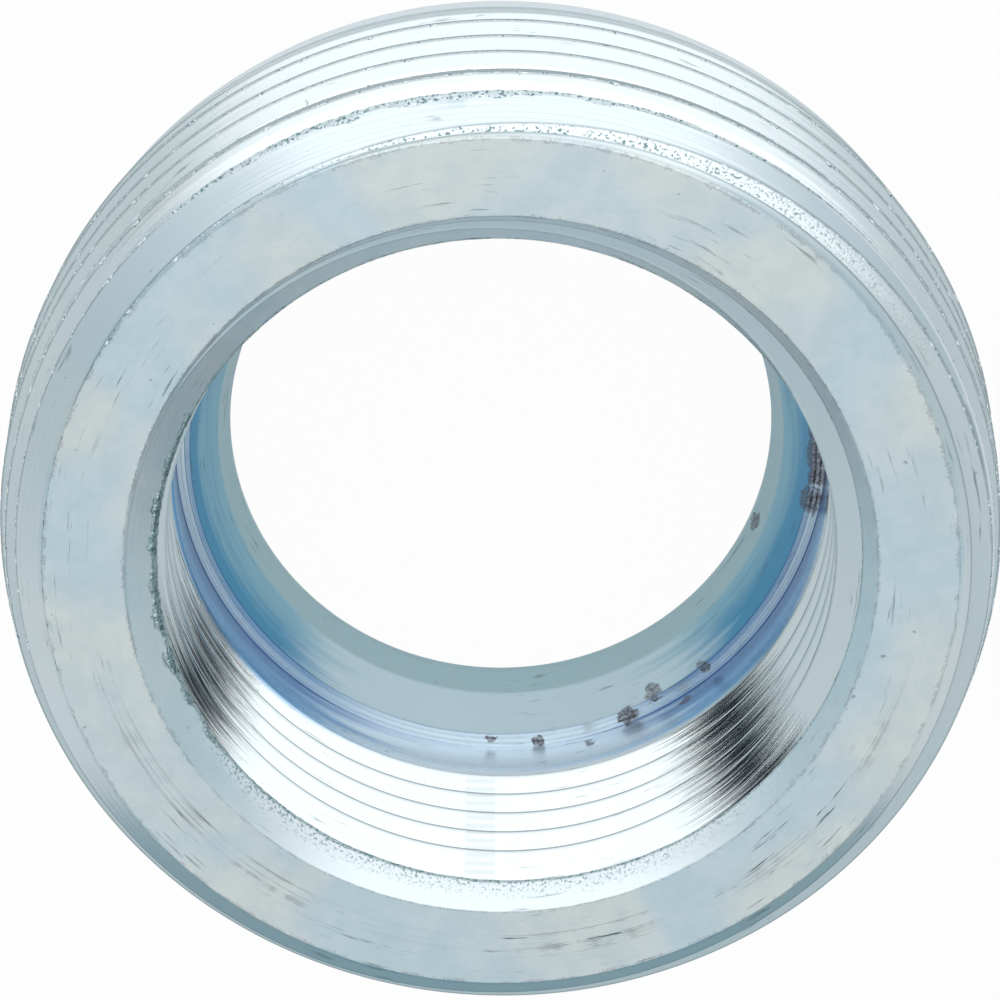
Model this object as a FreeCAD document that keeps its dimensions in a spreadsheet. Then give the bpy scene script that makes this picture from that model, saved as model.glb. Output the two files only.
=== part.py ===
"""Threaded reducing bushing: one turned steel ring with a male thread outside and a female thread inside.

The ring stands on its rear face. Its axis is +Z, the origin is the centre of the rear face, and the mouth
of the female thread looks up. Both threads are right-handed and share one pitch. Lengths are in
millimetres. A depth is counted down from the front face.
"""

import FreeCAD, Part
import math
import os

import Sketcher

SIZES = [
    ("body_length", 19.0, "front face to rear face"),
    ("crest_radius", 24.13, "male thread over its crests"),
    ("front_inset", 2.29, "from the male crests in to the edge of the front face"),
    ("front_chamfer", 1.68, "45 degree chamfer around the front face"),
    ("lead_depth", 4.60, "depth where the male thread reaches its full size"),
    ("land_height", 8.20, "height where the body starts to narrow again"),
    ("tail_height", 3.10, "height where the rear chamfer starts"),
    ("tail_inset", 1.03, "from the male crests in to the rear chamfer"),
    ("rear_inset", 4.13, "from the male crests in to the edge of the rear face"),
    ("thread_pitch", 2.209, "pitch of both threads"),
    ("flank_angle", 30.0, "degrees between a flank and a plane across the axis"),
    ("crest_flat", 0.16, "width of a thread's crest"),
    ("male_crest_depth", 1.44, "depth of the first male crest, at +Y"),
    ("male_land", 3.00, "least plain height between the male thread and the rear chamfer"),
    ("wall", 8.08, "from the male crests in to the female crests"),
    ("bevel_width", 1.97, "how far the mouth's 45 degree bevel widens the bore"),
    ("female_crest_depth", 2.77, "depth of the first full female crest, at -Y"),
    ("female_land", 2.50, "least plain height between the female thread and the shoulder"),
    ("shoulder_height", 4.00, "height of the step at the bottom of the bore"),
    ("shoulder_inset", 0.70, "from the female crests in to the edge of that step"),
    ("cone_height", 1.90, "height where the throat's cone ends"),
    ("cone_inset", 2.05, "from the female crests in to the end of that cone"),
    ("throat_height", 0.50, "height where the throat becomes straight"),
    ("throat_inset", 2.60, "from the female crests in to the clear opening"),
    ("cutter_reach", 0.90, "how far the thread form stands past the crests"),
]

BORE_RADIUS = "Sizes.crest_radius - Sizes.wall"
FRONT_RADIUS = "Sizes.crest_radius - Sizes.front_inset"


def make_sheet(doc):
    """Spreadsheet with one named size in each row."""
    sheet = doc.addObject("Spreadsheet::Sheet", "Sizes")
    for row, (alias, size, meaning) in enumerate(SIZES, start=1):
        sheet.set(f"A{row}", meaning)
        sheet.set(f"B{row}", str(size))
        sheet.setAlias(f"B{row}", alias)
    doc.recompute()
    return sheet


def height_of(depth):
    """Height above the rear face of a depth below the front face, as an expression."""
    return f"Sizes.body_length - ({depth})"


def bound_outline(body, name, plane_role, corners):
    """Closed outline of straight lines, each corner held at a pair of expressions.

    The outline lies in one of the body's own upright origin planes: its first coordinate is the distance
    from the axis and its second the height.
    """
    plane = next(item for item in body.Origin.OriginFeatures if item.Role == plane_role)
    sketch = body.newObject("Sketcher::SketchObject", name)
    sketch.AttachmentSupport = (plane, [""])
    sketch.MapMode = "FlatFace"
    count = len(corners)
    places = [
        FreeCAD.Vector(20 + 10 * math.cos(2 * math.pi * i / count), 20 + 10 * math.sin(2 * math.pi * i / count))
        for i in range(count)
    ]
    for i in range(count):
        sketch.addGeometry(Part.LineSegment(places[i], places[(i + 1) % count]))
    for i in range(count):
        sketch.addConstraint(Sketcher.Constraint("Coincident", i, 2, (i + 1) % count, 1))
    for i, (radius, height) in enumerate(corners):
        across = sketch.addConstraint(Sketcher.Constraint("DistanceX", -1, 1, i, 1, places[i].x))
        sketch.setExpression(f"Constraints[{across}]", radius)
        if height == "0":
            sketch.addConstraint(Sketcher.Constraint("PointOnObject", i, 1, -1))
        else:
            upward = sketch.addConstraint(Sketcher.Constraint("DistanceY", -1, 1, i, 1, places[i].y))
            sketch.setExpression(f"Constraints[{upward}]", height)
    return sketch


def add_blank(body):
    """Turned blank: chamfers, lead, tail, mouth bevel, bore, shoulder and throat in one section."""
    chamfer_radius = f"{FRONT_RADIUS} + Sizes.front_chamfer"
    throat_radius = f"{BORE_RADIUS} - Sizes.throat_inset"
    corners = [
        (throat_radius, "0"),
        ("Sizes.crest_radius - Sizes.rear_inset", "0"),
        ("Sizes.crest_radius - Sizes.tail_inset", "Sizes.tail_height"),
        ("Sizes.crest_radius", "Sizes.land_height"),
        ("Sizes.crest_radius", height_of("Sizes.lead_depth")),
        (chamfer_radius, height_of("Sizes.front_chamfer")),
        (FRONT_RADIUS, "Sizes.body_length"),
        (f"{BORE_RADIUS} + Sizes.bevel_width", "Sizes.body_length"),
        (BORE_RADIUS, height_of("Sizes.bevel_width")),
        (BORE_RADIUS, "Sizes.shoulder_height"),
        (f"{BORE_RADIUS} - Sizes.shoulder_inset", "Sizes.shoulder_height"),
        (f"{BORE_RADIUS} - Sizes.cone_inset", "Sizes.cone_height"),
        (throat_radius, "Sizes.throat_height"),
    ]
    section = bound_outline(body, "blank_section", "XZ_Plane", corners)
    blank = body.newObject("PartDesign::Revolution", "blank")
    blank.Profile = (section, [""])
    blank.ReferenceAxis = (section, ["V_Axis"])
    blank.Angle = 360.0
    section.Visibility = False


def deepest_middle(first_depth, kept_height):
    """Depth where a groove's middle starts, as an expression.

    It lies as many whole turns under the first depth as fit above the height that stays plain. Where the
    forms of the two sketches lie, the female middle at +Y is as deep as the female crest at -Y.
    """
    turns = f"floor((Sizes.body_length - ({kept_height}) - ({first_depth})) / Sizes.thread_pitch)"
    return f"({first_depth}) + {turns} * Sizes.thread_pitch"


def cut_thread(body, name, plane_role, crest, inward, start_depth):
    """One helical groove, cut upwards from its deepest turn until it has left the front face.

    The form is a V with a sharp root and flanks at the flank angle. Past the crests its sides run
    straight, so that neighbouring turns of the cutter never meet.
    """
    mouth = "(Sizes.thread_pitch - Sizes.crest_flat) / 2"
    depth_of_cut = f"{mouth} / tan(Sizes.flank_angle * 1 deg)"
    floor = f"{crest} {'-' if inward else '+'} {depth_of_cut}"
    outside = f"{crest} {'+' if inward else '-'} Sizes.cutter_reach"
    centre = height_of(start_depth)
    corners = [
        (floor, centre),
        (crest, f"{centre} + {mouth}"),
        (outside, f"{centre} + {mouth}"),
        (outside, f"{centre} - {mouth}"),
        (crest, f"{centre} - {mouth}"),
    ]
    form = bound_outline(body, f"{name}_form", plane_role, corners)
    groove = body.newObject("PartDesign::SubtractiveHelix", name)
    groove.Profile = (form, [""])
    groove.ReferenceAxis = (form, ["V_Axis"])
    groove.Mode = "pitch-height-angle"
    groove.setExpression("Pitch", "Sizes.thread_pitch")
    groove.setExpression("Height", f"{start_depth} + Sizes.thread_pitch")
    groove.LeftHanded = False
    groove.Reversed = False
    form.Visibility = False
    return groove


def make_bushing(doc):
    """The whole bushing: blank, male thread outside, female thread inside."""
    body = doc.addObject("PartDesign::Body", "bushing_body")
    body.Label = "bushing_body"
    add_blank(body)
    doc.recompute()
    blank_volume = body.Shape.Volume
    # A crest a quarter turn on, at +X, lies a quarter pitch deeper, and the groove's middle half a pitch more.
    first_male = "Sizes.male_crest_depth + (1 / 4 + 1 / 2) * Sizes.thread_pitch"
    male_start = deepest_middle(first_male, "Sizes.tail_height + Sizes.male_land")
    cut_thread(body, "male_groove", "XZ_Plane", "Sizes.crest_radius", True, male_start)
    doc.recompute()
    male_volume = body.Shape.Volume
    female_start = deepest_middle("Sizes.female_crest_depth", "Sizes.shoulder_height + Sizes.female_land")
    cut_thread(body, "female_groove", "YZ_Plane", BORE_RADIUS, False, female_start)
    doc.recompute()
    if not blank_volume > male_volume > body.Shape.Volume:
        raise RuntimeError("a thread cut nothing away")
    return body


def check(doc, node):
    """Stop if any object of the document failed, or if the node is not one sound solid."""
    for item in doc.Objects:
        if "Invalid" in item.State or "Error" in item.State:
            raise RuntimeError(f"{item.Name} did not build")
    shape = node.Shape
    if shape.isNull() or not shape.isValid() or len(shape.Solids) != 1:
        raise RuntimeError(f"{node.Label} is not one valid solid")


def main():
    """Build the bushing and write its file."""
    os.makedirs("parts", exist_ok=True)
    doc = FreeCAD.newDocument("threaded_reducing_bushing")
    make_sheet(doc)
    bushing = make_bushing(doc)
    check(doc, bushing)
    bushing.Shape.exportStep(f"parts/{bushing.Label}.step")
    box = bushing.Shape.BoundBox
    print(f"{bushing.Label}: volume {bushing.Shape.Volume:.1f} mm3, faces {len(bushing.Shape.Faces)}")
    print(f"box {box.XMin:.2f} {box.YMin:.2f} {box.ZMin:.2f} to {box.XMax:.2f} {box.YMax:.2f} {box.ZMax:.2f}")


main()
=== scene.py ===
"""Looks of a zinc-plated threaded reducing bushing, standing on its rear face on a pale studio floor.

The turned ring is one closed skin whose rows follow its threads, and torn metal lies along the edges that the
threads left. Everything is in metres in the row frame: +Z is the axis, the rear face lies at height 0 and the
mouth of the female thread looks up.
"""

import logging
import math
from dataclasses import dataclass, field
from enum import Enum

import bpy
import numpy as np
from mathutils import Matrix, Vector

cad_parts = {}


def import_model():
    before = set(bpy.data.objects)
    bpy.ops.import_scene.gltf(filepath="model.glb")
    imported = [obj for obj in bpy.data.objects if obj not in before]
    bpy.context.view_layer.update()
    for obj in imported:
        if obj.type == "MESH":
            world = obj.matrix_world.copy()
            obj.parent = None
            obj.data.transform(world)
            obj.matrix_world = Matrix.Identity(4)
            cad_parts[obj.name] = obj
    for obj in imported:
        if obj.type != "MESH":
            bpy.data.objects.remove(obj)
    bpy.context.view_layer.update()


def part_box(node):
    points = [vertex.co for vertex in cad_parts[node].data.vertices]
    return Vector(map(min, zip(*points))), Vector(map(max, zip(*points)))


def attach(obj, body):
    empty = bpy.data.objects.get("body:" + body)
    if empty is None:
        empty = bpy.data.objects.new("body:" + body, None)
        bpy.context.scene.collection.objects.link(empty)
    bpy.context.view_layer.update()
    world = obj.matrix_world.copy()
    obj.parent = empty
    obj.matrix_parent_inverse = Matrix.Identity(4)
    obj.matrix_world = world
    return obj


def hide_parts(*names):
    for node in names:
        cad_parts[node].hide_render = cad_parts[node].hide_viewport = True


LOG = logging.getLogger("bushing")
MM = 0.001
TAU = 2.0 * math.pi
BODY = "root"
NODE = "bushing_body"
SLOT = "zinc_plated_steel"

Colour = tuple[float, float, float]
Span = tuple[float, float]


def smooth_step(low: float, high: float, value: np.ndarray) -> np.ndarray:
    """Cubic step from 0 at low to 1 at high.

    Args:
        low: where the step starts.
        high: where the step ends; it may lie under low for a falling step.
        value: the places to work out.

    Returns:
        3t^2 - 2t^3 with t the clamped share of the way from low to high.
    """
    share = np.clip((value - low) / (high - low), 0.0, 1.0)
    return share * share * (3.0 - 2.0 * share)


class Ripple:
    """Seeded smooth noise round the axis: a sum of sine waves with whole numbers of waves in a turn."""

    def __init__(self, seed: int, lowest: int, highest: int, count: int) -> None:
        """Draws the waves.

        Args:
            seed: start of the random draws.
            lowest: fewest waves in one turn.
            highest: most waves in one turn.
            count: how many waves are summed.
        """
        draws = np.random.default_rng(seed)
        self.waves = draws.integers(lowest, highest + 1, count)
        self.phase = draws.uniform(0.0, TAU, count)
        self.drift = draws.uniform(-3.0, 3.0, count)
        self.scale = 1.0 / math.sqrt(0.5 * count)

    def at(self, angle: np.ndarray, turn: np.ndarray | float = 0.0) -> np.ndarray:
        """Noise of about unit spread at an angle and a slowly changing second place.

        Args:
            angle: angle round the axis.
            turn: second place, such as the number of the turn.

        Returns:
            Sum of sin(waves * angle + phase + drift * turn), scaled to a spread of one.
        """
        angle, turn = np.broadcast_arrays(np.asarray(angle, float), np.asarray(turn, float))
        total = np.zeros(angle.shape)
        for waves, phase, drift in zip(self.waves, self.phase, self.drift):
            total += np.sin(waves * angle + phase + drift * turn)
        return total * self.scale


@dataclass(frozen=True)
class BushingSizes:
    """Sizes of the turned ring in millimetres; a depth is counted down from the front face."""

    length: float
    crest_radius: float
    front_radius: float = 21.84
    front_chamfer: float = 1.68
    lead_depth: float = 4.6
    land_depth: float = 10.8
    tail_depth: float = 15.9
    tail_radius: float = 23.1
    rear_radius: float = 20.0
    pitch: float = 2.209
    flank_angle: float = math.radians(30.0)
    crest_flat: float = 0.16
    minor_radius: float = 16.05
    bevel: float = 1.97
    shoulder_depth: float = 15.0
    shoulder_radius: float = 15.35
    cone_depth: float = 17.1
    cone_radius: float = 14.0
    throat_depth: float = 18.5
    throat_radius: float = 13.45

    @property
    def mouth_radius(self) -> float:
        """Outer edge of the mouth's bevel."""
        return self.minor_radius + self.bevel

    @property
    def cut(self) -> float:
        """Depth of the thread form: half the open width over the tangent of the flank angle."""
        return (self.pitch - self.crest_flat) / 2.0 / math.tan(self.flank_angle)


class Side(Enum):
    """Which side of the ring a thread is cut into: the sign of the cut along the radius."""

    OUTSIDE = -1.0
    INSIDE = 1.0


TORN_SIDE = 268.0
TORN_BEVEL = 0.8
ROWS_PER_PITCH = 12
KINK_MARGIN = 0.02


@dataclass
class Thread:
    """One right-handed thread: a crest that rises with the angle, and the blank that limits it."""

    sizes: BushingSizes
    side: Side
    crest_depth: float
    crest_angle: float
    last_groove: float
    deepest: float
    fade: float = 1.0
    taper: float = 0.0

    def depth(self, turns: np.ndarray | float, angle: np.ndarray) -> np.ndarray:
        """Depth of a place across the thread: turns of pitch, less the rise of the helix.

        Args:
            turns: place across the thread in pitches, whole on a crest.
            angle: angle round the axis, which may go on past a turn.

        Returns:
            The depth in millimetres.
        """
        return self.crest_depth + self.sizes.pitch * (turns - (angle - self.crest_angle) / TAU)

    def blank(self, depth: np.ndarray) -> np.ndarray:
        """Radius of the blank: chamfer, lead, full size and tail outside, bevel and bore inside."""
        sizes = self.sizes
        if self.side is Side.INSIDE:
            return np.interp(depth, (0.0, sizes.bevel), (sizes.mouth_radius, sizes.minor_radius))
        depths = (0.0, sizes.front_chamfer, sizes.lead_depth, sizes.land_depth, sizes.tail_depth)
        front, full = sizes.front_radius, sizes.crest_radius
        radii = (front, front + sizes.front_chamfer, full, full, sizes.tail_radius)
        return np.interp(depth, depths, radii)

    def groove(self, depth: np.ndarray, angle: np.ndarray) -> np.ndarray:
        """Radius of the V-shaped groove at a depth and an angle.

        The distance from the nearest crest, less half its flat, is divided by the tangent of the flank
        angle. The deepest groove runs out: its cut falls to nothing along the helix. In the lead the whole
        form draws in towards the front by the taper.
        """
        sizes = self.sizes
        turns = (depth - self.crest_depth) / sizes.pitch + (angle - self.crest_angle) / TAU
        beside = np.abs(turns - np.round(turns)) * sizes.pitch
        form = np.clip((beside - sizes.crest_flat / 2.0) / math.tan(sizes.flank_angle), 0.0, sizes.cut)
        middle = self.depth(np.floor(turns) + 0.5, angle)
        kept = 1.0 - smooth_step(self.last_groove, self.last_groove + self.fade, middle)
        crest = sizes.minor_radius if self.side is Side.INSIDE else sizes.crest_radius
        lead = self.taper * np.clip(sizes.lead_depth - depth, 0.0, None)
        return crest - lead + self.side.value * form * kept

    def radius(self, depth: np.ndarray, angle: np.ndarray) -> np.ndarray:
        """Radius of the finished side: the groove where it cuts deeper than the blank, else the blank."""
        pick = np.maximum if self.side is Side.INSIDE else np.minimum
        return pick(self.blank(depth), self.groove(depth, angle))

    def torn(self, depth: np.ndarray, angle: np.ndarray) -> np.ndarray:
        """How torn the surface is: where the male groove leaves the chamfer, and on a side of the bevel."""
        cut = np.abs(self.blank(depth) - self.radius(depth, angle))
        if self.side is Side.INSIDE:
            turned = np.abs((np.degrees(angle) - TORN_SIDE + 180.0) % 360.0 - 180.0)
            strip = smooth_step(0.75, 1.0, depth) * smooth_step(2.2, 2.0, depth)
            return TORN_BEVEL * strip * smooth_step(0.04, 0.01, cut) * smooth_step(62.0, 46.0, turned)
        return smooth_step(0.0, 0.04, cut) * smooth_step(0.34, 0.2, cut) * smooth_step(1.25, 0.75, depth)

    def edge(self, turns: np.ndarray, angle: np.ndarray, step: int) -> np.ndarray:
        """Depth where a crest ends and a flank starts, found by halving the way to the groove's root.

        Args:
            turns: whole number of each crest.
            angle: angle round the axis.
            step: -1 for the crest's upper edge and 1 for its lower edge.

        Returns:
            The depth of the edge, which lies nearer the root where the blank cuts the crest down.
        """
        near = self.depth(turns, angle) + step * self.sizes.crest_flat / 2.0
        far = self.depth(turns, angle) + step * self.sizes.pitch / 2.0
        low = np.zeros(near.shape)
        high = np.ones(near.shape)
        for _ in range(24):
            share = (low + high) / 2.0
            depth = near + (far - near) * share
            cuts = (self.groove(depth, angle) - self.blank(depth)) * self.side.value > 1e-5
            high = np.where(cuts, share, high)
            low = np.where(cuts, low, share)
        return near + (far - near) * np.clip(high, 0.0, 0.92)

    def rows(self, low: float, high: float, angle: np.ndarray) -> tuple[np.ndarray, np.ndarray]:
        """Depths of all rows that a band needs between two depths, and how near each is to a crest's edge.

        Each pitch has the groove's root, three rows on the upper flank, the crest's two edges with a row
        beside each and one between them, and three rows on the lower flank.

        Args:
            low: shallow end of the band.
            high: deep end of the band.
            angle: angle of each column.

        Returns:
            Depths and edge masks, rows by columns.
        """
        sizes = self.sizes
        first = math.floor((low - self.crest_depth) / sizes.pitch - 1.0)
        last = math.ceil((high - self.crest_depth) / sizes.pitch + 2.0)
        turns = np.arange(first, last + 1)[:, None] * np.ones_like(angle)[None, :]
        angle = np.broadcast_to(angle[None, :], turns.shape)
        root = self.depth(turns - 0.5, angle)
        following = self.depth(turns + 0.5, angle)
        upper = self.edge(turns, angle, -1)
        lower = self.edge(turns, angle, 1)
        width = lower - upper
        beside = np.minimum(0.1, 0.25 * width)
        kinks = (sizes.bevel,) if self.side is Side.INSIDE else (sizes.front_chamfer, sizes.lead_depth)
        inner = np.stack((upper + beside, (upper + lower) / 2.0, lower - beside))
        for kink in kinks:
            within = (kink > upper + KINK_MARGIN) & (kink < lower - KINK_MARGIN)
            nearest = np.abs(inner - kink).argmin(axis=0)
            inner = np.where(within & (nearest == np.arange(3)[:, None, None]), kink, inner)
        narrow = 1.0 - smooth_step(0.2, 0.5, width)
        none = np.zeros(width.shape)
        on_edge = np.ones(width.shape)
        upper_flank = [(root + (upper - root) * share, none) for share in (0.0, 0.3, 0.65, 0.93)]
        crest = [(upper, on_edge), *((row, narrow) for row in inner), (lower, on_edge)]
        lower_flank = [(lower + (following - lower) * share, none) for share in (0.07, 0.35, 0.7)]
        bands = upper_flank + crest + lower_flank
        depths = np.stack([depth for depth, _ in bands], axis=1)
        edges = np.stack([mask for _, mask in bands], axis=1)
        columns = turns.shape[1]
        return depths.reshape(-1, columns), edges.reshape(-1, columns)


@dataclass(frozen=True)
class Stain:
    """One rust or plating stain: where its middle lies, in degrees and millimetres, and how wide it is."""

    degrees: float
    radius: float
    depth: float
    size: float
    level: float

    def middle(self, length: float) -> tuple[float, float, float]:
        """Place of its middle in metres, below a front face at the given height in millimetres."""
        angle = math.radians(self.degrees)
        flat = (self.radius * math.cos(angle) * MM, self.radius * math.sin(angle) * MM)
        return (*flat, (length - self.depth) * MM)


STAINS = (
    Stain(350.0, 15.4, 14.9, 0.6, 0.85),
    Stain(355.0, 15.6, 14.4, 0.7, 0.9),
    Stain(359.0, 15.5, 14.6, 0.8, 0.9),
    Stain(4.0, 15.5, 14.4, 0.8, 0.9),
    Stain(9.0, 15.6, 14.2, 0.7, 0.85),
    Stain(338.5, 13.6, 18.0, 0.35, 0.9),
    Stain(13.0, 15.9, 13.0, 0.45, 0.85),
    Stain(277.0, 15.7, 15.0, 0.3, 0.75),
    Stain(286.0, 15.9, 14.2, 0.35, 0.8),
    Stain(294.0, 15.6, 15.0, 0.4, 0.8),
    Stain(300.0, 15.3, 15.4, 0.45, 0.8),
    Stain(305.0, 15.9, 14.3, 0.35, 0.8),
    Stain(311.0, 15.4, 15.1, 0.3, 0.8),
    Stain(268.0, 15.6, 15.0, 0.25, 0.75),
)


def new_mesh(
    name: str, points: np.ndarray, faces: list[np.ndarray], edge: np.ndarray, torn: np.ndarray
) -> bpy.types.Object:
    """Makes a smooth mesh object from arrays, in metres, with its masks as point attributes.

    Args:
        name: name of the object and its mesh.
        points: places of the points in millimetres.
        faces: arrays of point numbers, one array for each number of corners.
        edge: 1 on crest edges, for each point.
        torn: 1 on torn metal, for each point.

    Returns:
        The new object, linked to the scene, with creases where faces meet at more than 14 degrees.
    """
    mesh = bpy.data.meshes.new(name)
    mesh.vertices.add(len(points))
    mesh.vertices.foreach_set("co", (points * MM).astype(np.float32).ravel())
    corners = np.concatenate([block.ravel() for block in faces])
    sizes = np.concatenate([np.full(len(block), block.shape[1]) for block in faces])
    mesh.loops.add(len(corners))
    mesh.loops.foreach_set("vertex_index", corners.astype(np.int32))
    mesh.polygons.add(len(sizes))
    mesh.polygons.foreach_set("loop_start", (np.cumsum(sizes) - sizes).astype(np.int32))
    mesh.update(calc_edges=True)
    mesh.polygons.foreach_set("use_smooth", np.ones(len(sizes), bool))
    for label, values in {"edge": edge, "torn": torn}.items():
        attribute = mesh.attributes.new(label, "FLOAT", "POINT")
        attribute.data.foreach_set("value", values.astype(np.float32).ravel())
    mesh.validate()
    mesh.set_sharp_from_angle(angle=math.radians(14.0))
    obj = bpy.data.objects.new(name, mesh)
    bpy.context.scene.collection.objects.link(obj)
    return obj


PLAIN_SHARES = np.array([0.0, 0.04, 0.2, 0.35, 0.5, 0.65, 0.8, 0.96])[:, None]
RING_MARGIN = 0.004


class Skin:
    """Closed skin of a turned ring, made band by band round its section from arrays."""

    def __init__(self, columns: int, length: float) -> None:
        """Starts an empty skin.

        Args:
            columns: how many columns stand round the axis.
            length: height of the front face, from which depths are counted.
        """
        self.columns = columns
        self.length = length
        self.angle = np.arange(columns) * TAU / columns
        self.points: list[np.ndarray] = []
        self.edges: list[np.ndarray] = []
        self.torn: list[np.ndarray] = []
        self.count = 0
        self.quads: list[np.ndarray] = []
        self.triangles: list[np.ndarray] = []

    def add_points(
        self, radius: object, depth: object, angle: np.ndarray, edge: object = 0.0, torn: object = 0.0
    ) -> np.ndarray:
        """Adds points given by radius, depth and angle.

        Args:
            radius: distance from the axis.
            depth: depth below the front face.
            angle: angle round the axis.
            edge: 1 on a crest's edge and 0 away from it.
            torn: 1 on torn metal.

        Returns:
            The numbers of the new points, in the shape of radius.
        """
        radius, depth, angle, edge, torn = np.broadcast_arrays(radius, depth, angle, edge, torn)
        place = np.stack((radius * np.cos(angle), radius * np.sin(angle), self.length - depth), axis=-1)
        self.points.append(place.reshape(-1, 3))
        self.edges.append(edge.reshape(-1))
        self.torn.append(torn.reshape(-1))
        numbers = self.count + np.arange(radius.size).reshape(radius.shape)
        self.count += radius.size
        return numbers

    def add_ring(self, radius: float, depth: float) -> np.ndarray:
        """Adds one ring of points."""
        return self.add_points(radius, depth, self.angle)

    def add_grid(self, numbers: np.ndarray, following: np.ndarray) -> None:
        """Adds the faces between rows, and between each column and the one that follows it.

        Args:
            numbers: point numbers, rows by columns.
            following: point numbers of the next column, for each column.
        """
        corners = np.stack((numbers[:-1], numbers[1:], following[1:], following[:-1]), axis=-1).reshape(-1, 4)
        a, b, c, d = corners.T
        same = np.stack((a == b, b == c, c == d, d == a))
        merged = same.sum(axis=0)
        self.quads.append(corners[merged == 0])
        one = merged == 1
        second = np.where(same[0], c, b)
        third = np.where(same[0] | same[1], d, c)
        self.triangles.append(np.stack((a, second, third), axis=-1)[one])

    def add_plain(self, first: np.ndarray, last: np.ndarray, corners: list[tuple[float, float]]) -> None:
        """Adds a plain band through a list of corners, with rows close to each corner.

        Args:
            first: ring at the first corner.
            last: ring at the last corner.
            corners: depth and radius of each corner.
        """
        outline = np.array(corners)
        places = [start + (end - start) * PLAIN_SHARES for start, end in zip(outline[:-1], outline[1:])]
        rows = np.concatenate(places)[1:]
        middle = self.add_points(rows[:, 1:], rows[:, :1], self.angle[None, :])
        numbers = np.concatenate((first[None, :], middle, last[None, :]))
        self.add_grid(numbers, np.roll(numbers, -1, axis=1))

    def add_thread(
        self, thread: Thread, top: np.ndarray, bottom: np.ndarray, end: float, upward: bool
    ) -> None:
        """Adds a band whose rows follow a thread and stop at a ring at each end.

        One turn on, a row lies where its neighbour one pitch up began, so the last column is joined to the
        first one a pitch's rows up.

        Args:
            thread: the thread.
            top: ring of points at depth 0.
            bottom: ring of points at the band's deep end.
            end: depth of that ring.
            upward: whether the faces' order is turned over, as on the inside of the ring.
        """
        depth, edge = thread.rows(0.0, end, self.angle)
        above = depth <= RING_MARGIN
        inside = ~(above | (depth >= end - RING_MARGIN))
        columns = np.broadcast_to(np.arange(self.columns)[None, :], depth.shape)
        angle = np.broadcast_to(self.angle[None, :], depth.shape)[inside]
        numbers = np.where(above, top[columns], bottom[columns])
        place = depth[inside]
        torn = thread.torn(place, angle)
        numbers[inside] = self.add_points(thread.radius(place, angle), place, angle, edge[inside], torn)
        seam = np.concatenate((np.full(ROWS_PER_PITCH, top[0]), numbers[:-ROWS_PER_PITCH, 0]))
        band = np.concatenate((numbers, seam[:, None]), axis=1)
        if upward:
            band = band[::-1]
        self.add_grid(band[:, :-1], band[:, 1:])

    def mesh(self, name: str) -> bpy.types.Object:
        """Makes the object, with masks for crest edges and for torn metal."""
        points = np.concatenate(self.points)
        faces = [np.concatenate(self.quads), np.concatenate(self.triangles)]
        return new_mesh(name, points, faces, np.concatenate(self.edges), np.concatenate(self.torn))


RIDGES = ((0.02, 0.16), (0.1, 0.2), (0.02, 0.26), (0.02, 0.42), (0.09, 0.45), (0.0, 0.5))


@dataclass
class TurnedRing:
    """The bushing itself: front face, chamfer, male thread, tail, rear face, throat, bore, female thread."""

    sizes: BushingSizes
    columns: int = 372
    male: Thread = field(init=False)
    female: Thread = field(init=False)

    def __post_init__(self) -> None:
        """Places both threads from the first crests that show at the top and the bottom of the rim."""
        top, bottom = math.pi / 2.0, 1.5 * math.pi
        self.male = Thread(self.sizes, Side.OUTSIDE, 1.44, top, last_groove=11.45, deepest=13.4, taper=0.081)
        self.female = Thread(self.sizes, Side.INSIDE, 2.77, bottom, last_groove=11.1, deepest=12.9)

    def build(self) -> bpy.types.Object:
        """Makes the closed skin.

        Returns:
            The ring as one mesh object.
        """
        sizes = self.sizes
        skin = Skin(self.columns, sizes.length)
        mouth = skin.add_ring(sizes.mouth_radius, 0.0)
        front = skin.add_ring(sizes.front_radius, 0.0)
        skin.add_plain(mouth, front, [(0.0, sizes.mouth_radius), (0.0, sizes.front_radius)])
        male_radius = float(self.male.blank(np.array(self.male.deepest)))
        male_end = skin.add_ring(male_radius, self.male.deepest)
        skin.add_thread(self.male, front, male_end, self.male.deepest, False)
        female_end = skin.add_ring(sizes.minor_radius, self.female.deepest)
        outline = [
            (self.male.deepest, male_radius),
            (sizes.tail_depth, sizes.tail_radius),
            (sizes.length, sizes.rear_radius),
            (sizes.length, sizes.throat_radius),
            (sizes.throat_depth, sizes.throat_radius),
            (sizes.cone_depth, sizes.cone_radius),
            (sizes.shoulder_depth, sizes.shoulder_radius),
            *((sizes.shoulder_depth + down, sizes.shoulder_radius + out) for down, out in RIDGES),
            (sizes.shoulder_depth, sizes.minor_radius),
            (self.female.deepest, sizes.minor_radius),
        ]
        skin.add_plain(male_end, female_end, outline)
        skin.add_thread(self.female, mouth, female_end, self.female.deepest, True)
        return skin.mesh("turned_ring")


@dataclass(frozen=True)
class Tear:
    """A stretch of torn metal along one crest edge.

    Each entry of widths is an angle in degrees, the width there in millimetres and how dark it is. A sparse
    stretch is a thin line with single shreds.
    """

    crest: int
    step: int
    widths: tuple[tuple[float, float, float], ...]
    seed: int
    sparse: bool = False


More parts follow.
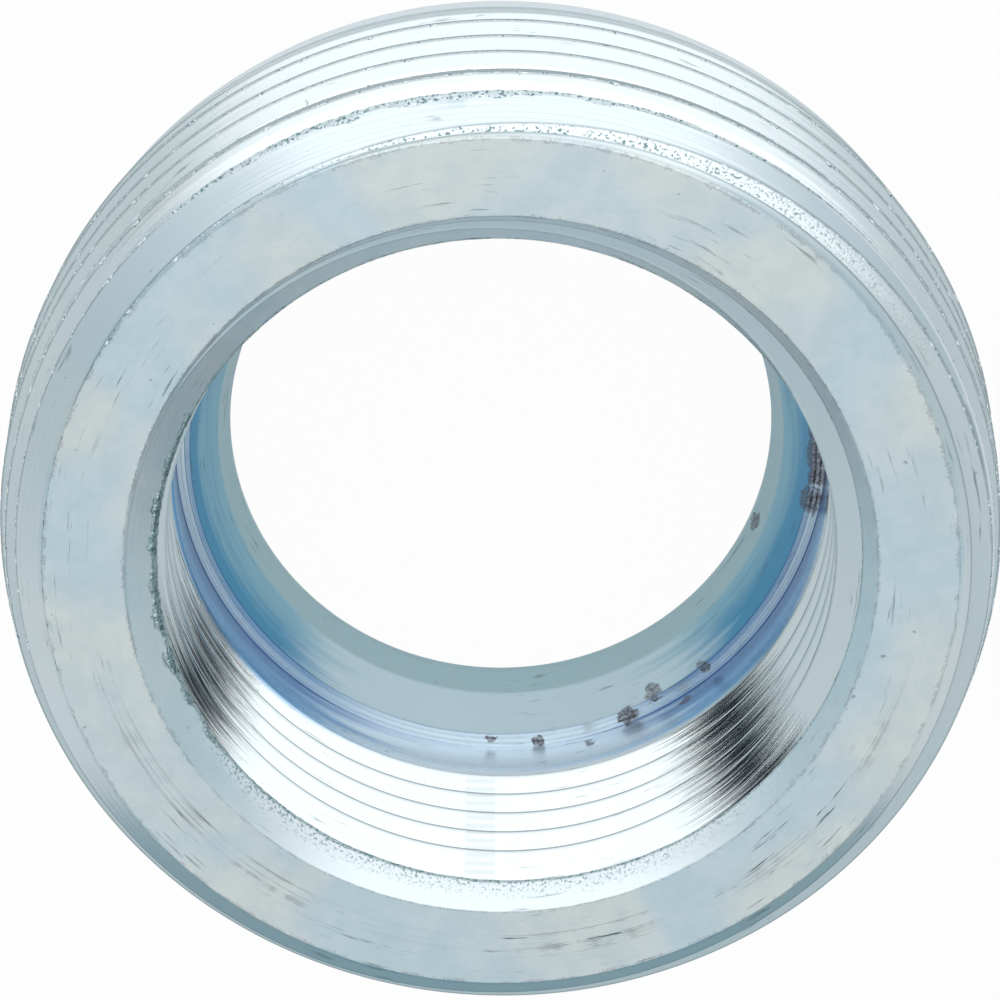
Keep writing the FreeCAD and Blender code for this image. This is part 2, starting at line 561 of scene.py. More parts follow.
@dataclass
class TornEdges:
    """Ragged slivers of metal that the thread cutter left along crest edges, as closed tubes."""

    sizes: BushingSizes
    sides: int = 6
    per_degree: float = 4.0
    closing: float = 3.0
    least_half: float = 0.004
    offset: float = 0.4
    flatness: float = 0.35
    sway: float = 0.25
    margin: float = 0.002

    def tube(self, thread: Thread, tear: Tear) -> tuple[np.ndarray, np.ndarray, np.ndarray]:
        """Points and faces of one tube with closed ends.

        Its middle follows the crest's edge, and its flat section lies at 45 degrees like the bevel. Its width
        follows the stretch's widths, each at an angle in degrees, times ragged noise, and falls to nothing at
        both ends.

        Args:
            thread: the thread that the edge belongs to.
            tear: the stretch.

        Returns:
            Points in millimetres, four-cornered faces with numbers from 0, and how dark each point is.
        """
        places, widths, darkness = (np.array(column) for column in zip(*tear.widths))
        start, end = places[0], places[-1]
        steps = int((end - start) * self.per_degree)
        degrees = np.linspace(start, end, steps)
        angle = np.radians(degrees)
        depth = thread.edge(np.full(steps, float(tear.crest)), angle, tear.step)
        radius = thread.radius(depth, angle)
        fine = Ripple(tear.seed, 240, 900, 26).at(angle)
        coarse = Ripple(tear.seed + 1, 30, 160, 18).at(angle)
        rags = np.clip(1.0 + 0.05 * fine + 0.07 * coarse, 0.7, 1.3)
        if tear.sparse:
            rags = 0.3 + 1.6 * np.clip(0.55 * fine + 0.75 * coarse - 0.55, 0.0, 1.6)
        half = np.interp(degrees, places, widths) / 2.0 * rags
        dark = np.broadcast_to(np.interp(degrees, places, darkness), (self.sides, steps))
        opened = smooth_step(start, start + self.closing, degrees)
        closed = smooth_step(end, end - self.closing, degrees)
        half = np.maximum(half * np.minimum(opened, closed), self.least_half)
        round_section = np.arange(self.sides) * TAU / self.sides
        jag = Ripple(tear.seed + 2, 40, 240, 22)
        swell = 1.0 + 0.07 * jag.at(angle[None, :], np.arange(self.sides)[:, None] * 1.7)
        along = half * (self.offset + swell * np.cos(round_section)[:, None])
        across = half * (self.flatness * swell * np.sin(round_section)[:, None])
        sway = half * self.sway * Ripple(tear.seed + 3, 8, 60, 20).at(angle)
        lift = radius + thread.side.value * (along - across) * math.sqrt(0.5)
        drop = depth - (along + across) * math.sqrt(0.5) + sway
        height = np.minimum(self.sizes.length - drop, self.sizes.length - self.margin)
        lift = np.minimum(lift, self.sizes.crest_radius - self.margin)
        points = np.stack((lift * np.cos(angle), lift * np.sin(angle), height), axis=-1)
        numbers = np.arange(self.sides * steps).reshape(self.sides, steps)
        around = np.roll(numbers, -1, axis=0)
        quads = np.stack((numbers[:, :-1], numbers[:, 1:], around[:, 1:], around[:, :-1]), axis=-1)
        caps = [numbers[half_round, tip] for half_round in ([0, 1, 2, 3], [3, 4, 5, 0]) for tip in (0, -1)]
        faces = np.concatenate((quads.reshape(-1, 4), np.array(caps)))
        return points.reshape(-1, 3), faces, dark.reshape(-1)

    def build(self, tears: list[tuple[Thread, Tear]]) -> bpy.types.Object:
        """Makes all tubes as one object.

        Args:
            tears: each stretch with its thread.

        Returns:
            The object.
        """
        points, faces, darkness, count = [], [], [], 0
        for thread, tear in tears:
            places, numbers, dark = self.tube(thread, tear)
            points.append(places)
            faces.append(numbers + count)
            darkness.append(dark)
            count += len(places)
        dark = np.concatenate(darkness)
        return new_mesh("torn_edges", np.concatenate(points), [np.concatenate(faces)], dark, np.ones(count))


def mouth_tear() -> Tear:
    """The ragged edge of the mouth: thin at the right and the top, thickest at the left and the bottom."""
    widths = (
        (330.0, 0.03, 0.8),
        (400.0, 0.08, 0.8),
        (470.0, 0.12, 0.9),
        (508.0, 0.2, 1.0),
        (525.0, 0.55, 1.0),
        (550.0, 0.6, 0.95),
        (566.0, 0.45, 0.9),
        (580.0, 0.18, 0.8),
        (640.0, 0.12, 0.8),
        (668.0, 0.12, 0.8),
        (682.0, 0.06, 0.8),
        (780.0, 0.03, 0.9),
    )
    return Tear(0, 1, widths, 11)


def all_tears(ring: TurnedRing) -> list[tuple[Thread, Tear]]:
    """Every stretch of torn metal: the mouth and the male crests that show."""
    widths = ((-25.0, 0.05, 0.0), (90.0, 0.07, 0.0), (205.0, 0.05, 0.0))
    shreds = [
        (ring.male, Tear(crest, step, widths, seed=60 + 2 * crest + step, sparse=True))
        for crest in range(5)
        for step in (-1, 1)
    ]
    curl = ((40.0, 0.04, 0.5), (68.0, 0.34, 0.3), (108.0, 0.4, 0.3), (142.0, 0.04, 0.5))
    return [(ring.female, mouth_tear()), (ring.male, Tear(0, 1, curl, seed=91)), *shreds]


class Graph:
    """Short way to write a node tree: each call adds one node and links its inputs."""

    def __init__(self, tree: bpy.types.NodeTree) -> None:
        """Wraps a tree.

        Args:
            tree: a material's, a world's or a group's node tree.
        """
        self.tree = tree

    def node(self, kind: str, inputs: dict | None = None, **settings: object) -> bpy.types.Node:
        """Adds a node.

        Args:
            kind: its type name.
            inputs: sockets by name or number, each a plain value or an output to link.
            settings: properties of the node.

        Returns:
            The node.
        """
        made = self.tree.nodes.new(kind)
        for label, value in settings.items():
            setattr(made, label, value)
        for label, value in (inputs or {}).items():
            self.feed(made.inputs[label], value)
        return made

    def feed(self, socket: bpy.types.NodeSocket, value: object) -> None:
        """Links an output to a socket, or sets the socket to a plain value."""
        if isinstance(value, bpy.types.NodeSocket):
            self.tree.links.new(value, socket)
        elif isinstance(value, tuple) and len(value) == 3 and socket.type == "RGBA":
            socket.default_value = (*value, 1.0)
        else:
            socket.default_value = value

    def math(self, operation: str, *terms: object, clamp: bool = False) -> object:
        """Adds a Math node and returns its output."""
        inputs = dict(enumerate(terms))
        return self.node("ShaderNodeMath", inputs, operation=operation, use_clamp=clamp).outputs[0]

    def times(self, first: object, *others: object) -> object:
        """Multiplies values with Math nodes and returns the last output."""
        for other in others:
            first = self.math("MULTIPLY", first, other)
        return first

    def vector(self, operation: str, *terms: object, output: str = "Vector") -> object:
        """Adds a Vector Math node and returns the named output."""
        return self.node("ShaderNodeVectorMath", dict(enumerate(terms)), operation=operation).outputs[output]

    def noise(self, place: object, scale: object, detail: float, **more: float) -> object:
        """Adds a Noise Texture and returns its value."""
        inputs = {"Vector": place, "Scale": scale, "Detail": detail, **more}
        return self.node("ShaderNodeTexNoise", inputs).outputs[0]

    def ramp(self, value: object, low: object, high: float, start: float = 0.0, end: float = 1.0) -> object:
        """Adds a smooth Map Range from low and high to start and end and returns its output."""
        inputs = {"Value": value, "From Min": low, "From Max": high, "To Min": start, "To Max": end}
        return self.node("ShaderNodeMapRange", inputs, interpolation_type="SMOOTHSTEP").outputs["Result"]

    def span(self, value: object, ends: Span) -> object:
        """Adds a smooth Map Range to 0 and 1 from two lengths in millimetres and returns its output."""
        return self.ramp(value, ends[0] * MM, ends[1] * MM)

    def mix(self, share: object, first: object, second: object) -> object:
        """Adds a colour Mix node and returns its output."""
        return self.node("ShaderNodeMix", {"Factor": share, 6: first, 7: second}, data_type="RGBA").outputs[2]

    def group(self, tree: bpy.types.NodeTree, place: object, **values: object) -> object:
        """Places a shader node group with its own values and returns its outputs."""
        return self.node("ShaderNodeGroup", {"Place": place, **values}, node_tree=tree).outputs


def new_group(name: str, inputs: dict[str, float], outputs: tuple[str, ...]) -> tuple[Graph, object, object]:
    """Starts a shader node group with a vector input, float inputs and float outputs.

    Args:
        name: name of the group.
        inputs: float inputs with their usual values.
        outputs: names of the float outputs.

    Returns:
        The group's graph, what comes in, and the sockets of what goes out.
    """
    tree = bpy.data.node_groups.new(name, "ShaderNodeTree")
    tree.interface.new_socket("Place", in_out="INPUT", socket_type="NodeSocketVector")
    for label, usual in inputs.items():
        tree.interface.new_socket(label, in_out="INPUT", socket_type="NodeSocketFloat").default_value = usual
    for label in outputs:
        tree.interface.new_socket(label, in_out="OUTPUT", socket_type="NodeSocketFloat")
    graph = Graph(tree)
    return graph, graph.node("NodeGroupInput").outputs, graph.node("NodeGroupOutput").inputs


def round_parts(graph: Graph, place: object) -> tuple[object, object, object]:
    """Radius, unit vector away from the axis, and height of a place."""
    flat = graph.vector("MULTIPLY", place, (1.0, 1.0, 0.0))
    height = graph.node("ShaderNodeSeparateXYZ", {0: place}).outputs["Z"]
    return graph.vector("LENGTH", flat, output="Value"), graph.vector("NORMALIZE", flat), height


def turned_place(graph: Graph, inputs: object) -> object:
    """Coordinates that run round the axis slowly and across the turning marks quickly.

    Args:
        graph: the graph of a group.
        inputs: its Place in metres, its Spread round the axis, and its Across per metre.

    Returns:
        A vector of cosine and sine of the angle times Spread, and of height plus 1.7 radii times Across:
        along every band of the section that sum changes, so the marks lie round the axis on all of them.
    """
    radius, unit, height = round_parts(graph, inputs["Place"])
    split = graph.node("ShaderNodeSeparateXYZ", {0: unit}).outputs
    joined = {axis: graph.times(split[axis], inputs["Spread"]) for axis in "XY"}
    joined["Z"] = graph.times(graph.math("MULTIPLY_ADD", radius, 1.7, height), inputs["Across"])
    return graph.node("ShaderNodeCombineXYZ", joined).outputs[0]


def turning_marks_group() -> bpy.types.NodeTree:
    """Fine grooves that a lathe tool leaves: a fine and a wide noise, summed to about 0.5 on average."""
    graph, inputs, output = new_group("turning_marks", {"Spread": 1.0, "Across": 9000.0}, ("Marks",))
    place = turned_place(graph, inputs)
    fine = graph.times(graph.noise(place, 1.0, 3.0), 0.6)
    wide = graph.times(graph.noise(place, 0.28, 1.0), 0.4)
    graph.feed(output["Marks"], graph.math("ADD", fine, wide))
    return graph.tree


def scratches_group() -> bpy.types.NodeTree:
    """Dark concentric scratches that come and go round the axis, in patches."""
    values = {"Spread": 5.0, "Across": 2600.0, "Amount": 0.7}
    graph, inputs, output = new_group("scratches", values, ("Scratches",))
    thin = graph.ramp(graph.noise(turned_place(graph, inputs), 1.0, 3.0, Roughness=0.7), 0.60, 0.70)
    where = graph.ramp(graph.noise(inputs["Place"], 160.0, 1.0), 0.47, 0.6)
    amount = graph.math("MULTIPLY", graph.times(thin, where), inputs["Amount"], clamp=True)
    graph.feed(output["Scratches"], amount)
    return graph.tree


def blotches_group() -> bpy.types.NodeTree:
    """Soft clouds in the plating: a cloud value, and small specks."""
    graph, inputs, output = new_group("blotches", {"Size": 95.0, "Specks": 0.75}, ("Cloud", "Speck"))
    cloud = graph.noise(inputs["Place"], inputs["Size"], 2.0, Distortion=0.6)
    speck = graph.noise(inputs["Place"], 1500.0, 2.0)
    graph.feed(output["Cloud"], graph.ramp(cloud, 0.36, 0.64))
    graph.feed(output["Speck"], graph.ramp(speck, inputs["Specks"], 0.8))
    return graph.tree


def stains_group(length: float) -> bpy.types.NodeTree:
    """All stains as one mask: each falls smoothly from its level to nothing at 2.2 sizes from its middle.

    Args:
        length: height of the front face in millimetres.

    Returns:
        The group; its place is first shifted by noise, so that the stains get ragged outlines.
    """
    graph, inputs, output = new_group("stains", {"Ragged": 0.0007}, ("Stain",))
    noise = graph.node("ShaderNodeTexNoise", {"Vector": inputs["Place"], "Scale": 2600.0, "Detail": 1.0})
    shift = graph.vector("SUBTRACT", noise.outputs["Color"], (0.5, 0.5, 0.5))
    scaled = graph.node("ShaderNodeVectorMath", {0: shift, "Scale": inputs["Ragged"]}, operation="SCALE")
    place = graph.vector("ADD", inputs["Place"], scaled.outputs[0])
    mask = 0.0
    for stain in STAINS:
        away = graph.vector("DISTANCE", place, stain.middle(length), output="Value")
        mask = graph.math("MAXIMUM", graph.ramp(away, 2.2 * stain.size * MM, 0.0, 0.0, stain.level), mask)
    graph.feed(output["Stain"], mask)
    return graph.tree


class Zone(Enum):
    """Parts of the ring: where each starts and where it is full, in radius and in height, in millimetres."""

    THREAD = ((17.9, 17.75), (6.0, 7.0))
    OUTSIDE = ((20.0, 20.5), (18.9, 18.7))
    BORE = ((16.3, 16.1), (7.6, 7.0))
    CONE = ((16.3, 16.1), (4.0, 3.9))
    LIP = ((16.3, 16.1), (2.0, 1.8))
    SHOULDER = ((16.03, 16.0), (4.2, 4.1))


@dataclass(frozen=True)
class ZincFinish:
    """Colours and levels of the plating, among them painted highlights, painted light and painted shade, and
    where its marks start and are full, in millimetres.
    """

    blue: Colour = (0.69, 0.77, 0.81)
    cream: Colour = (0.81, 0.81, 0.785)
    mouth: Colour = (0.60, 0.73, 0.78)
    # painted shade: dark teal for the tail, standing in for a darker reflection
    tail: Colour = (0.28, 0.41, 0.45)
    cut: Colour = (0.80, 0.815, 0.82)
    rim: Colour = (0.34, 0.33, 0.35)
    dark: Colour = (0.10, 0.16, 0.17)
    torn: Colour = (0.20, 0.30, 0.31)
    # near white: painted highlight on the bevel and the chamfer, and the light flecks of torn metal
    bright: Colour = (0.95, 0.97, 0.98)
    deep_bore: Colour = (0.06, 0.19, 0.42)
    bore: Colour = (0.21, 0.45, 0.74)
    # painted light: the bore's -Y side, which faces the lamps
    painted_light_bore: Colour = (0.78, 0.88, 0.98)
    deep_cone: Colour = (0.12, 0.40, 0.62)
    cone: Colour = (0.38, 0.64, 0.75)
    # painted light: the cone's -Y side, which faces the lamps
    painted_light_cone: Colour = (0.84, 0.96, 1.0)
    shoulder: Colour = (0.93, 0.98, 1.0)
    lip: Colour = (0.56, 0.72, 0.74)
    rust: Colour = (0.17, 0.13, 0.14)
    roughness: float = 0.22
    rough_marks: float = 0.12
    rough_bore: float = 0.1
    rough_damage: float = 0.2
    thread_roughness: float = 0.07
    metallic: float = 0.85
    bore_metallic: float = 0.55
    cone_metallic: float = 0.1
    mouth_metallic: float = 0.6
    bump_strength: float = 0.28
    bump_distance: float = 0.04
    mouth_ends: Span = (18.03, 17.95)
    bevel_ends: Span = (0.08, 0.04)
    shoulder_ends: Span = (15.34, 15.37)
    tail_ends: Span = (7.4, 5.6)
    fray: float = 1.2
    rim_ends: Span = (0.11, 0.03)
    rim_height: Span = (18.6, 18.9)
    rim_wobble: float = 0.35
    front_ends: Span = (18.85, 18.95)
    chamfer_ends: Span = (23.56, 23.46)
    wear_radius: float = 19.8
    wear_ends: Span = (1.0, 0.2)
    chatter_angle: float = -1.632
    drift: float = 4.0
    bore_ends: Span = (4.1, 6.2)
    cone_ends: Span = (2.0, 3.6)

    def build(self, sizes: BushingSizes) -> bpy.types.Material:
        """Makes the material.

        Args:
            sizes: sizes of the ring.

        Returns:
            A metal whose colour changes with clouds, zones of the bore, scratches and crest edges, with
            painted highlights on the bevel and the chamfer, painted light on the -Y side of the bore and the
            cone, and painted shade on the tail.
        """
        material = bpy.data.materials.new(SLOT)
        material.use_nodes = True
        material.node_tree.nodes.clear()
        graph = Graph(material.node_tree)
        coat = Coat(graph, self, sizes)
        coat.plate()
        coat.wear()
        coat.tint_bore()
        coat.damage()
        surface = {"Base Color": coat.colour, "Metallic": coat.metallic(), "Roughness": coat.roughness()}
        shader = graph.node("ShaderNodeBsdfPrincipled", {**surface, "Normal": coat.normal()})
        graph.node("ShaderNodeOutputMaterial", {"Surface": shader.outputs[0]})
        return material


class Coat:
    """The plating's nodes: what is measured at a point of the ring, and its colour as it is painted over."""

    def __init__(self, graph: Graph, finish: ZincFinish, sizes: BushingSizes) -> None:
        """Adds the nodes that several steps read. The bevel is where radius less height is its cone's.

        Args:
            graph: the material's graph.
            finish: colours and levels.
            sizes: sizes of the ring.
        """
        self.graph = graph
        self.finish = finish
        self.sizes = sizes
        self.place = graph.node("ShaderNodeTexCoord").outputs["Object"]
        self.radius, self.unit, self.height = round_parts(graph, self.place)
        # facing -Y: places the painted highlights, the painted light in the bore and the cone, and the rubbed
        # arc on the face
        self.shine = graph.vector("DOT_PRODUCT", self.unit, (0.0, -1.0, 0.0), output="Value")
        turning = turning_marks_group()
        self.marks = graph.group(turning, self.place)["Marks"]
        broad = graph.group(turning, self.place, Spread=1.6, Across=1500.0)["Marks"]
        self.lines = graph.math("SUBTRACT", broad, 0.5)
        self.grain = graph.noise(self.place, 1300.0, 2.0)
        self.rag = graph.noise(self.place, 7000.0, 1.0)
        self.cloud, self.speck = graph.group(blotches_group(), self.place)
        self.edge = graph.node("ShaderNodeAttribute", attribute_name="edge").outputs["Fac"]
        self.torn = graph.node("ShaderNodeAttribute", attribute_name="torn").outputs["Fac"]
        self.rusty = graph.ramp(graph.group(stains_group(sizes.length), self.place)["Stain"], 0.3, 0.5)
        self.mouth = graph.span(self.radius, finish.mouth_ends)
        cone_gap = (sizes.mouth_radius - sizes.length) * MM
        off_bevel = self.beside(graph.math("SUBTRACT", self.radius, self.height), cone_gap)
        self.bevel = graph.times(graph.span(off_bevel, finish.bevel_ends), self.mouth)
        self.thread = graph.math("SUBTRACT", self.zone(Zone.THREAD), self.bevel, clamp=True)
        self.outside = self.zone(Zone.OUTSIDE)
        self.bore = self.zone(Zone.BORE)
        self.cone = self.zone(Zone.CONE)
        self.shoulder = graph.times(self.zone(Zone.SHOULDER), graph.span(self.radius, finish.shoulder_ends))
        arc = graph.span(self.beside(self.radius, finish.wear_radius * MM), finish.wear_ends)
        front = graph.span(self.height, finish.front_ends)
        self.worn = graph.times(arc, front, graph.ramp(self.shine, 0.15, 0.6))
        self.colour = graph.mix(self.cloud, finish.blue, finish.cream)

    def zone(self, zone: Zone) -> object:
        """Mask of a part of the ring."""
        across, along = zone.value
        return self.graph.times(self.graph.span(self.radius, across), self.graph.span(self.height, along))

    def beside(self, value: object, middle: float) -> object:
        """How far a value is from a middle."""
        return self.graph.math("ABSOLUTE", self.graph.math("SUBTRACT", value, middle))

    def paint(self, mask: object, colour: object) -> None:
        """Paints a colour over what is there, as far as the mask says."""
        self.colour = self.graph.mix(mask, self.colour, colour)

    def plate(self) -> None:
        """Paints a fine mottle, the cut surfaces, the tail in a painted shade of dark teal, the rims, and
        painted highlights on the bevel's -Y side and on the chamfer's +Y side.

        The tail's upper end is frayed by the turning marks, and the lines along the rims wander with the
        two fine noises.
        """
        graph, finish = self.graph, self.finish
        mottle = graph.noise(self.place, 620.0, 3.0, Roughness=0.65)
        levels = enumerate(((0.92, 1.03), (0.95, 1.02), (0.96, 1.01)))
        shades = {channel: graph.ramp(mottle, 0.3, 0.7, *level) for channel, level in levels}
        shade = graph.node("ShaderNodeCombineColor", shades).outputs[0]
        self.colour = graph.vector("MULTIPLY", self.colour, shade)
        self.paint(graph.times(self.mouth, 0.3), finish.mouth)
        self.paint(graph.times(graph.math("MAXIMUM", self.thread, self.outside), 0.8), finish.cut)
        # painted shade: the tail is painted a darker teal in place of a darker reflection, with its upper end
        # frayed
        frayed = graph.math("MULTIPLY_ADD", self.marks, finish.fray * MM, self.height)
        tail = graph.times(self.outside, graph.span(frayed, finish.tail_ends))
        self.paint(graph.times(tail, graph.ramp(self.grain, 0.42, 0.66, 0.85, 0.6)), finish.tail)
        mixed = graph.math("SUBTRACT", graph.math("MULTIPLY_ADD", self.rag, 1.2, self.grain), 1.1)
        wandering = graph.math("MULTIPLY_ADD", mixed, finish.rim_wobble * MM, self.radius)
        rims = (self.sizes.front_radius * MM, self.sizes.mouth_radius * MM)
        near = (graph.span(self.beside(wandering, rim), finish.rim_ends) for rim in rims)
        rim = graph.times(graph.math("MAXIMUM", *near), graph.span(self.height, finish.rim_height))
        self.paint(graph.times(rim, graph.ramp(self.grain, 0.42, 0.56, 0.05, 0.4)), finish.rim)
        # painted highlights: near white on the bevel's -Y side and the chamfer's +Y side, where they face the
        # softboxes
        self.paint(graph.times(self.bevel, graph.ramp(self.shine, 0.55, 0.9)), finish.bright)
        chamfer = graph.times(self.outside, graph.span(self.radius, finish.chamfer_ends))
        self.paint(graph.times(chamfer, graph.ramp(self.shine, -0.5, -0.9)), finish.bright)

    def wear(self) -> None:
        """Paints the rubbed arc, and the cutter's chatter as short bars across the female flanks."""
        graph, finish = self.graph, self.finish
        fleck = graph.math("MULTIPLY_ADD", self.marks, 0.75, graph.times(self.grain, 0.25))
        rubbed = graph.times(self.worn, graph.ramp(fleck, 0.5, 0.56))
        self.paint(graph.times(rubbed, graph.ramp(self.cloud, 0.3, 0.9, 0.1, 0.7)), finish.rim)
        split = graph.node("ShaderNodeSeparateXYZ", {0: self.unit}).outputs
        turn = graph.math("ARCTAN2", split["Y"], split["X"])
        patch = graph.ramp(self.beside(turn, finish.chatter_angle), 0.046, 0.042)
        bars = graph.ramp(graph.math("SINE", graph.times(self.height, 30000.0)), -0.2, 0.4, 0.04, 0.16)
        self.paint(graph.times(patch, bars, self.thread), finish.dark)

    def tint_bore(self) -> None:
        """Paints the bore, the throat's cone and lip, and the shoulder.

        The bore is deepest at the shoulder and the cone at its upper end. Both are painted paler on the -Y
        side, where they face the lamps, as painted light, with ends drawn out along the turning marks.
        """
        graph, finish = self.graph, self.finish
        high = graph.math("MULTIPLY_ADD", self.lines, finish.drift * MM, self.height)
        # painted light: bore and cone turn paler towards the -Y side, which faces the lamps, streaked by the
        # turning marks
        streaked = graph.math("MULTIPLY_ADD", self.lines, 0.5, self.shine)
        blue = graph.mix(graph.span(high, finish.bore_ends), finish.deep_bore, finish.bore)
        self.paint(self.bore, graph.mix(graph.ramp(streaked, 0.76, 0.96), blue, finish.painted_light_bore))
        teal = graph.mix(graph.span(high, finish.cone_ends), finish.cone, finish.deep_cone)
        self.paint(self.cone, graph.mix(graph.ramp(streaked, 0.64, 0.88), teal, finish.painted_light_cone))
        self.paint(self.zone(Zone.LIP), finish.lip)
        self.paint(self.shoulder, finish.shoulder)

    def damage(self) -> None:
        """Paints dark crest edges, scratches and specks, then torn metal, then rust."""
        graph, finish = self.graph, self.finish
        amount = graph.math("MULTIPLY_ADD", self.worn, 1.6, 0.6)
        scratches = graph.group(scratches_group(), self.place, Amount=amount)["Scratches"]
        darkening = graph.times(self.edge, graph.ramp(self.radius, 0.0180, 0.0186, 0.3, 0.6))
        for mask in (scratches, graph.times(self.speck, 0.5)):
            darkening = graph.math("MAXIMUM", darkening, mask)
        self.paint(darkening, finish.dark)
        light = graph.ramp(self.rag, 0.32, 0.48)
        light = graph.math("SUBTRACT", light, graph.times(self.edge, 0.75), clamp=True)
        self.paint(self.torn, graph.mix(light, finish.torn, finish.bright))
        self.paint(graph.times(self.rusty, graph.ramp(self.rag, 0.35, 0.65, 0.45, 0.85)), finish.rust)

    def roughness(self) -> object:
        """Roughness: streaked by the turning marks, higher in the bore and on damage, lower on the thread."""
        graph, finish = self.graph, self.finish
        base = finish.roughness - finish.rough_marks / 2.0
        rough = graph.math("MULTIPLY_ADD", self.marks, finish.rough_marks, base)
        rough = graph.math("MULTIPLY_ADD", self.bore, finish.rough_bore, rough)
        rough = graph.math("MULTIPLY_ADD", self.thread, finish.thread_roughness - finish.roughness, rough)
        damaged = graph.math("MAXIMUM", self.torn, self.rusty)
        return graph.math("MULTIPLY_ADD", damaged, finish.rough_damage, rough)

    def metallic(self) -> object:
        """Metallic share: full on the thread and the shoulder, less on bevel, bore and cone."""
        graph, finish = self.graph, self.finish
        base = finish.metallic
        share = graph.math("MULTIPLY_ADD", self.bevel, finish.mouth_metallic - base, base)
        share = graph.math("MULTIPLY_ADD", self.bore, finish.bore_metallic - base, share)
        share = graph.math("MULTIPLY_ADD", self.cone, finish.cone_metallic - finish.bore_metallic, share)
        return graph.math("MAXIMUM", share, graph.math("MAXIMUM", self.thread, self.shoulder))

    def normal(self) -> object:
        """Normal from the turning marks, calmer on the thread and the front face, and from the torn metal."""
        graph, finish = self.graph, self.finish
        calm = graph.ramp(self.height, 0.01893, 0.01898, 1.0, 0.2)
        calm = graph.math("MULTIPLY_ADD", self.thread, -0.5, calm)
        torn = graph.times(self.rag, self.torn)
        relief = graph.math("MULTIPLY_ADD", torn, 3.0, graph.times(self.marks, calm))
        inputs = {"Height": relief, "Strength": finish.bump_strength, "Distance": finish.bump_distance * MM}
        return graph.node("ShaderNodeBump", inputs).outputs[0]


@dataclass(frozen=True)
class Viewpoint:
    """The photograph's camera: tilt from the axis, distance and frame, with lengths in front radii."""

    tilt: float = math.radians(23.1)
    distance: float = 18.0
    pixels_per_radius: float = 458.6
    centre: tuple[float, float] = (500.8, 570.0)
    frame: float = 1000.0
    sensor: float = 36.0

    def place(self, sizes: BushingSizes) -> None:
        """Makes the camera above the mouth, turned so that the +Y side of the rim is at the top.

        The lens makes one front radius at the front face as many pixels as the photograph has, and the
        shift puts the face's centre at its place in the frame.
        """
        away = self.distance * sizes.front_radius * MM
        camera = bpy.data.cameras.new("studio_camera")
        camera.sensor_width = self.sensor
        camera.lens = self.pixels_per_radius * self.distance * self.sensor / self.frame
        camera.shift_x = (self.frame / 2.0 - self.centre[0]) / self.frame
        camera.shift_y = (self.centre[1] - self.frame / 2.0) / self.frame
        camera.clip_start = 0.01
        obj = bpy.data.objects.new("studio_camera", camera)
        bpy.context.scene.collection.objects.link(obj)
        obj.location = (0.0, math.sin(self.tilt) * away, sizes.length * MM + math.cos(self.tilt) * away)
        obj.rotation_euler = (-self.tilt, 0.0, 0.0)
        bpy.context.scene.camera = obj


CARD_HEIGHT = 0.1475
NEAR_BLACK = (0.01, 0.02, 0.03)
RIGHT = ((0.114, -0.09), (0.154, -0.09), (0.154, 0.0), (0.116, 0.05))
LEFT = ((-0.130, -0.01), (-0.1, 0.015), (-0.084, 0.085), (-0.130, 0.06))
FRONT = ((-0.12, -0.3), (0.12, -0.3), (0.05, -0.036), (-0.05, -0.036))


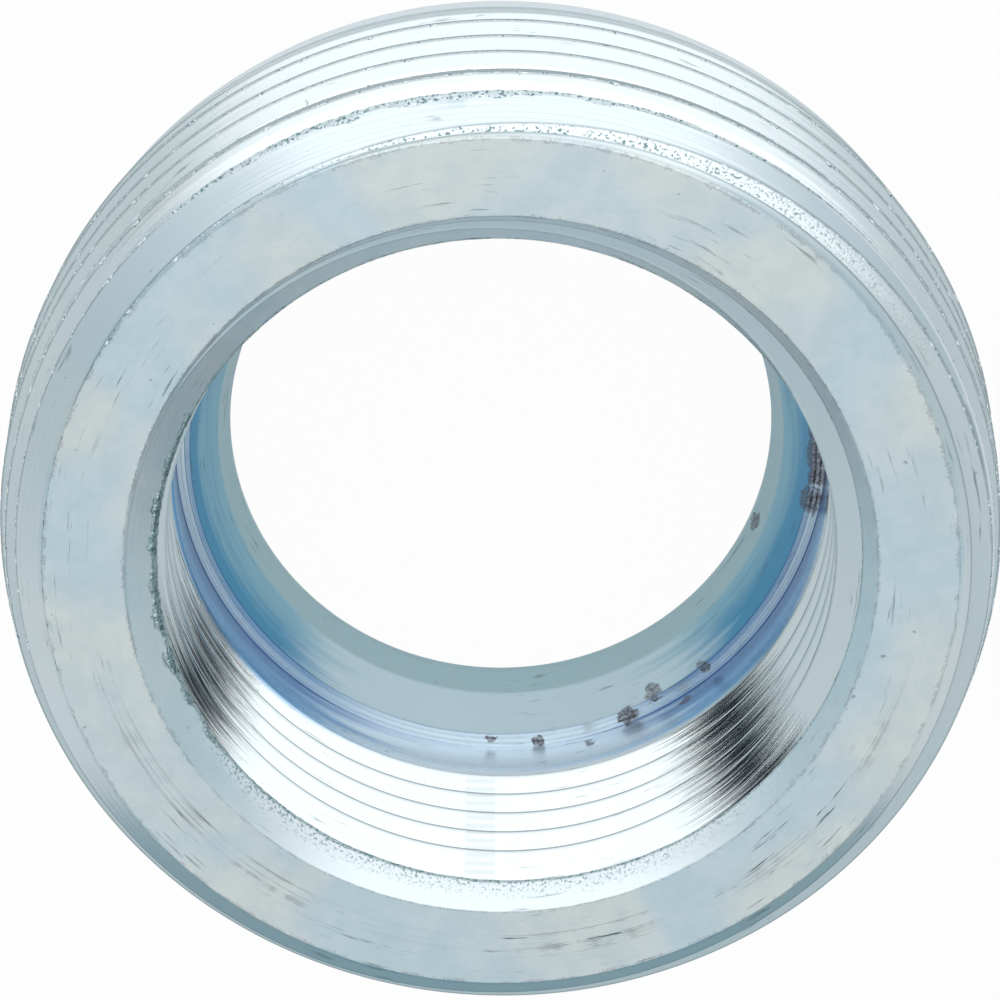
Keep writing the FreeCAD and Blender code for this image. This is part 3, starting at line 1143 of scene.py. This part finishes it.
@dataclass(frozen=True)
class Studio:
    """Pale floor, two soft lamps overhead, cards that the metal shows, and surroundings."""

    floor_colour: Colour = (0.60, 0.70, 0.74)
    floor_half: float = 2.0
    floor_seen: float = 0.97
    floor_mirrored: float = 0.45
    lamp_level: float = 0.61
    lamp_height: float = 0.15
    horizon: Colour = (0.44, 0.56, 0.61)
    zenith: Colour = (0.66, 0.74, 0.77)

    def plane(self, name: str, corners: tuple[Span, ...], height: float) -> bpy.types.Object:
        """Flat four-cornered sheet at a height, kept out of the part."""
        mesh = bpy.data.meshes.new(name)
        mesh.from_pydata([(*corner, height) for corner in corners], [], [(0, 1, 2, 3)])
        obj = bpy.data.objects.new(name, mesh)
        bpy.context.scene.collection.objects.link(obj)
        return obj

    def floor(self) -> None:
        """Large floor at height 0: white to the camera, part white in the metal, with a faint shadow."""
        half = self.floor_half
        obj = self.plane("studio_floor", ((-half, -half), (half, -half), (half, half), (-half, half)), 0.0)
        material = bpy.data.materials.new("studio_floor")
        material.use_nodes = True
        material.node_tree.nodes.clear()
        graph = Graph(material.node_tree)
        path = graph.node("ShaderNodeLightPath").outputs
        passed = graph.math("MAXIMUM", path["Is Glossy Ray"], path["Is Transmission Ray"])
        seen = graph.times(path["Is Camera Ray"], self.floor_seen)
        share = graph.math("MAXIMUM", seen, graph.times(passed, self.floor_mirrored))
        diffuse = graph.node("ShaderNodeBsdfDiffuse", {"Color": self.floor_colour})
        white = graph.node("ShaderNodeEmission", {"Strength": 1.0})
        mixed = graph.node("ShaderNodeMixShader", {0: share, 1: diffuse.outputs[0], 2: white.outputs[0]})
        graph.node("ShaderNodeOutputMaterial", {"Surface": mixed.outputs[0]})
        obj.data.materials.append(material)

    def card(self, name: str, corners: tuple[Span, ...], height: float, colour: Colour) -> None:
        """Makes a card that only the metal shows, as a streak or as shade.

        Args:
            name: name of the card.
            corners: x and y of its corners.
            height: its height.
            colour: its colour.
        """
        material = bpy.data.materials.new(name)
        material.use_nodes = True
        shader = material.node_tree.nodes["Principled BSDF"]
        shader.inputs["Base Color"].default_value = (*colour, 1.0)
        shader.inputs["Roughness"].default_value = 1.0
        obj = self.plane(name, corners, height)
        obj.data.materials.append(material)
        obj.visible_camera = False

    def softbox(self, name: str, size: Span, middle: Span) -> None:
        """Flat lamp above the far side of the rim, as bright in a mirror as the lamp level.

        Args:
            name: name of the lamp.
            size: its extent along x and y.
            middle: x and y of its middle.
        """
        light = bpy.data.lights.new(name, "AREA")
        light.shape = "RECTANGLE"
        light.size, light.size_y = size
        light.energy = math.pi * size[0] * size[1] * self.lamp_level
        obj = bpy.data.objects.new(name, light)
        obj.location = (*middle, self.lamp_height)
        obj.visible_camera = False
        bpy.context.scene.collection.objects.link(obj)

    def world(self) -> None:
        """Surroundings that go from the horizon's colour to the zenith's."""
        world = bpy.data.worlds.new("studio_world")
        world.use_nodes = True
        world.node_tree.nodes.clear()
        graph = Graph(world.node_tree)
        direction = graph.node("ShaderNodeTexCoord").outputs["Generated"]
        up = graph.node("ShaderNodeSeparateXYZ", {0: direction}).outputs["Z"]
        colour = graph.mix(graph.ramp(up, 0.0, 0.85), self.horizon, self.zenith)
        background = graph.node("ShaderNodeBackground", {"Color": colour, "Strength": 1.0})
        graph.node("ShaderNodeOutputWorld", {"Surface": background.outputs[0]})
        bpy.context.scene.world = world

    def build(self) -> None:
        """Makes the floor, the cards, the surroundings and the lamps."""
        self.floor()
        self.card("card_right", RIGHT, CARD_HEIGHT, NEAR_BLACK)
        self.card("card_left", LEFT, CARD_HEIGHT, NEAR_BLACK)
        self.card("card_front", FRONT, 0.0004, (0.24, 0.38, 0.44))
        self.world()
        self.softbox("softbox", size=(0.261, 0.20), middle=(0.0095, 0.088))
        self.softbox("far_softbox", size=(0.54, 0.26), middle=(0.0, 0.318))


def main() -> None:
    """Builds the studio and the bushing, in order, and reports each piece."""
    logging.basicConfig(level=logging.INFO, format="%(name)s: %(message)s")
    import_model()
    low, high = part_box(NODE)
    sizes = BushingSizes(length=(high[2] - low[2]) / MM, crest_radius=(high[0] - low[0]) / 2.0 / MM)
    Viewpoint().place(sizes)
    Studio().build()
    zinc = ZincFinish().build(sizes)
    ring = TurnedRing(sizes)
    for piece in (ring.build(), TornEdges(sizes).build(all_tears(ring))):
        piece.data.materials.append(zinc)
        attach(piece, BODY)
        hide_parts(NODE)
        LOG.info("%s: %d points, %d faces", piece.name, len(piece.data.vertices), len(piece.data.polygons))
    bpy.context.scene.view_settings.view_transform = "Standard"


if __name__ == "__main__":
    main()
